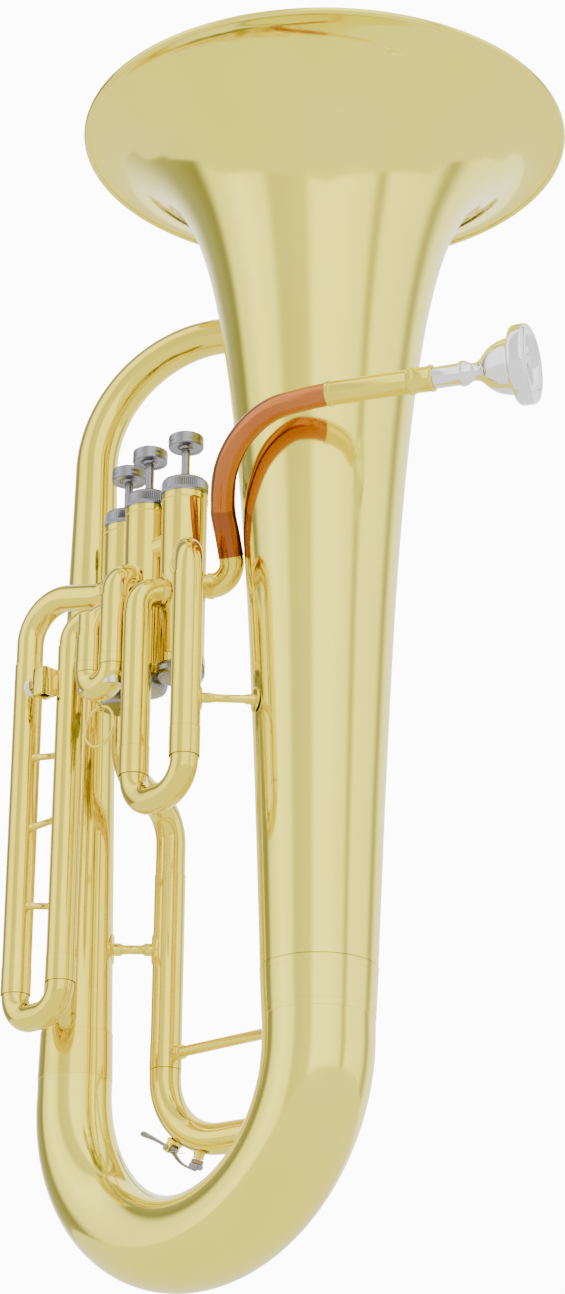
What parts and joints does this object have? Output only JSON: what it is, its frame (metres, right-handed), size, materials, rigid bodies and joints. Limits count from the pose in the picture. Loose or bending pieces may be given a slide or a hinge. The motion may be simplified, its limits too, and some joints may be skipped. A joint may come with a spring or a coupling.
{
  "type": "baritone horn",
  "caption": "Upright baritone horn in lacquered brass with top-action piston valves, pull-out slides, water key and silver cup mouthpiece.",
  "frame": {"origin": "lowest point of the bottom bow, midway between the bell axis and the main branch axis", "axes": "+Z along the bell axis towards the bell mouth, +X from the main branch towards the bell and the player, valves on the -Y side"},
  "size_m": [0.3219, 0.24, 0.5649],
  "materials": {
    "lacquered_brass": "clear-lacquered polished brass",
    "rose_brass": "clear-lacquered polished rose brass",
    "satin_nickel": "satin nickel",
    "silver_plate": "bright silver plate",
    "monel": "lapped piston alloy",
    "spring_steel": "drawn wire",
    "cork": "pressed cork"
  },
  "bodies": {
    "horn": {"bell": "lacquered_brass", "bell_ferrule": "lacquered_brass", "branch_ferrule": "lacquered_brass", "bottom_bow": "lacquered_brass", "main_branch": "lacquered_brass", "top_bow": "lacquered_brass", "rear_tube": "lacquered_brass", "tuning_sleeve_left": "lacquered_brass", "tuning_sleeve_right": "lacquered_brass", "valve_exit_tube": "lacquered_brass", "valve1_casing": "lacquered_brass", "valve2_casing": "lacquered_brass", "valve3_casing": "lacquered_brass", "valve1_top_cap": "satin_nickel", "valve2_top_cap": "satin_nickel", "valve3_top_cap": "satin_nickel", "valve1_bottom_cap": "satin_nickel", "valve2_bottom_cap": "satin_nickel", "valve3_bottom_cap": "satin_nickel", "valve1_spring": "spring_steel", "valve2_spring": "spring_steel", "valve3_spring": "spring_steel", "valve_knuckle_1_2": "lacquered_brass", "valve_knuckle_2_3": "lacquered_brass", "slide1_right_leg": "lacquered_brass", "slide1_left_leg": "lacquered_brass", "slide2_right_leg": "lacquered_brass", "slide2_left_leg": "lacquered_brass", "slide3_right_leg": "lacquered_brass", "slide3_left_leg": "lacquered_brass", "slide3_brace_top": "lacquered_brass", "slide3_brace_middle": "lacquered_brass", "slide3_brace_bottom": "lacquered_brass", "leadpipe_elbow": "lacquered_brass", "leadpipe_sleeve": "rose_brass", "leadpipe_bend": "rose_brass", "mouthpiece_receiver": "lacquered_brass", "brace_branch_tuning": "lacquered_brass", "brace_bell_tuning": "lacquered_brass", "brace_bell_slide1": "lacquered_brass", "lyre_holder": "lacquered_brass"},
    "valve1": {"valve1_piston": "monel", "valve1_button": "satin_nickel"},
    "valve2": {"valve2_piston": "monel", "valve2_button": "satin_nickel"},
    "valve3": {"valve3_piston": "monel", "valve3_button": "satin_nickel"},
    "main_slide": {"tuning_slide": "lacquered_brass", "water_key_saddle": "lacquered_brass", "water_key_pin": "satin_nickel", "water_key_nozzle": "lacquered_brass"},
    "water_key": {"water_key_lever": "satin_nickel", "water_key_cork": "cork"},
    "first_slide": {"slide1_bow": "lacquered_brass"},
    "second_slide": {"slide2_bow": "lacquered_brass", "slide2_ring_eye": "lacquered_brass"},
    "pull_ring": {"slide2_pull_ring": "lacquered_brass"},
    "third_slide": {"slide3_bow": "lacquered_brass"},
    "mouthpiece": {"mouthpiece": "silver_plate"},
    "lyre_screw": {"lyre_screw": "silver_plate"}
  },
  "joints": [
    {"name": "valve1_press", "type": "slide", "parent": "horn", "child": "valve1", "axis": [0, 0, 1], "range_m": [-0.016, 0], "stiffness_N_per_m": 200, "springref_m": 0.02, "deforming": ["valve1_spring"]},
    {"name": "valve2_press", "type": "slide", "parent": "horn", "child": "valve2", "axis": [0, 0, 1], "range_m": [-0.016, 0], "stiffness_N_per_m": 200, "springref_m": 0.02, "deforming": ["valve2_spring"]},
    {"name": "valve3_press", "type": "slide", "parent": "horn", "child": "valve3", "axis": [0, 0, 1], "range_m": [-0.016, 0], "stiffness_N_per_m": 200, "springref_m": 0.02, "deforming": ["valve3_spring"]},
    {"name": "main_slide_pull", "type": "slide", "parent": "horn", "child": "main_slide", "axis": [0, 0, -1], "range_m": [0, 0.05]},
    {"name": "water_key_open", "type": "hinge", "parent": "main_slide", "child": "water_key", "pos_m": [-0.04514, 0.03078, 0.07876], "axis": [0.175, -0.9846, 0], "range_deg": [-16, 0], "stiffness_Nm_per_rad": 0.04, "springref_deg": 14.32},
    {"name": "first_slide_pull", "type": "slide", "parent": "horn", "child": "first_slide", "axis": [0, 0, -1], "range_m": [0, 0.035]},
    {"name": "second_slide_pull", "type": "slide", "parent": "horn", "child": "second_slide", "axis": [0, 0, -1], "range_m": [0, 0.01]},
    {"name": "pull_ring_swing", "type": "hinge", "parent": "second_slide", "child": "pull_ring", "pos_m": [-0.00885, -0.057, 0.26845], "axis": [1, 0, 0], "range_deg": [-60, 60]},
    {"name": "third_slide_pull", "type": "slide", "parent": "horn", "child": "third_slide", "axis": [0, 0, -1], "range_m": [0, 0.05]},
    {"name": "mouthpiece_pull", "type": "slide", "parent": "horn", "child": "mouthpiece", "axis": [0.9078, 0.4195, 0], "range_m": [0, 0.018]},
    {"name": "lyre_screw_turn", "type": "hinge", "parent": "horn", "child": "lyre_screw", "pos_m": [-0.0669, -0.045, 0.299], "axis": [-1, 0, 0], "continuous": true}
  ]
}
